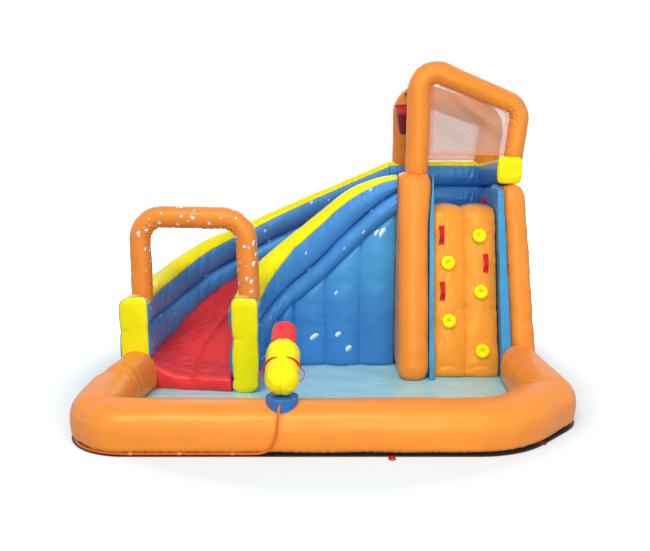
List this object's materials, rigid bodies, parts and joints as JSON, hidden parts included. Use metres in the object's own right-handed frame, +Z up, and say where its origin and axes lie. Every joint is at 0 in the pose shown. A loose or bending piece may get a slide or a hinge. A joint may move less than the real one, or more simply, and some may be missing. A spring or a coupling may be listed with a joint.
{
  "type": "inflatable water slide",
  "caption": "Inflatable garden water park: low pool wall, climbing tower, curved slide between stacked bolsters, spray arch, tipping bucket and swivelling water cannon.",
  "frame": {"origin": "on the ground under the middle of the object's box", "axes": "+Z up, +X to the climbing tower's side, -Y to the front where the water cannon stands"},
  "size_m": [3.7, 3.1991, 2.6999],
  "materials": {
    "orange_fabric": "coated, satin",
    "blue_fabric": "coated, satin",
    "light_blue_fabric": "coated, satin",
    "yellow_fabric": "coated, satin",
    "red_fabric": "coated, glossy",
    "aqua_sheet": "coated, satin",
    "black_sheet": "coated, matt",
    "net_white": "knotted net, matt",
    "red_webbing": "woven, matt",
    "orange_hose": "smooth, satin",
    "hose_fitting": "gloss"
  },
  "bodies": {
    "park": {"ground_sheet": "black_sheet", "pool_floor": "aqua_sheet", "pool_wall": "orange_fabric", "slide_bed": "red_fabric", "inner_side_wall": "blue_fabric", "outer_side_wall": "orange_fabric", "inner_bolster_upper": "blue_fabric", "inner_bolster_lower": "blue_fabric", "outer_bolster_upper": "blue_fabric", "outer_bolster_lower": "blue_fabric", "inner_top_panel": "yellow_fabric", "outer_top_panel": "yellow_fabric", "left_end_cap": "yellow_fabric", "right_end_cap": "yellow_fabric", "spray_arch": "orange_fabric", "left_column": "orange_fabric", "right_column": "orange_fabric", "left_liner": "light_blue_fabric", "right_liner": "light_blue_fabric", "climbing_wall": "orange_fabric", "foothold_1": "yellow_fabric", "foothold_2": "yellow_fabric", "foothold_3": "yellow_fabric", "foothold_4": "yellow_fabric", "foothold_5": "yellow_fabric", "climbing_handle_1": "red_webbing", "climbing_handle_2": "red_webbing", "climbing_handle_3": "red_webbing", "platform_handle": "red_webbing", "platform_floor": "blue_fabric", "rear_panels": "orange_fabric", "rear_bolster_upper": "blue_fabric", "rear_bolster_lower": "blue_fabric", "rear_top_panel": "yellow_fabric", "rear_end_cap": "yellow_fabric", "front_frame": "orange_fabric", "rear_frame": "orange_fabric", "front_net": "net_white", "rear_net": "net_white", "bucket_axle": "red_webbing", "frame_tie_strap": "red_webbing", "bucket_filler": "red_fabric", "cannon_base": "blue_fabric", "hose": "orange_hose", "hose_connector": "hose_fitting", "hose_loop_1": "orange_hose", "hose_loop_2": "orange_hose", "hose_loop_3": "orange_hose", "hose_loop_4": "orange_hose", "anchor_front": "red_webbing", "anchor_right": "red_webbing", "anchor_rear": "red_webbing", "air_inlet_sleeve": "orange_fabric", "deflation_flap": "blue_fabric"},
    "cannon_swivel": {"cannon_collar": "blue_fabric"},
    "cannon": {"cannon_barrel": "yellow_fabric", "cannon_nozzle": "red_fabric", "cannon_handle_left": "red_webbing", "cannon_handle_right": "red_webbing"},
    "bucket": {"tipping_bucket": "red_fabric"}
  },
  "joints": [
    {"name": "cannon_yaw", "type": "hinge", "parent": "park", "child": "cannon_swivel", "pos_m": [-0.325, -1.3725, 0.372], "axis": [0, 0, 1], "range_deg": [-35, 35]},
    {"name": "cannon_pitch", "type": "hinge", "parent": "cannon_swivel", "child": "cannon", "pos_m": [-0.325, -1.3725, 0.5029], "axis": [1, 0, 0], "range_deg": [-15, 25]},
    {"name": "bucket_tip", "type": "hinge", "parent": "park", "child": "bucket", "pos_m": [0.7575, 0.97, 2.3], "axis": [0, 1, 0], "range_deg": [-110, 110]}
  ]
}
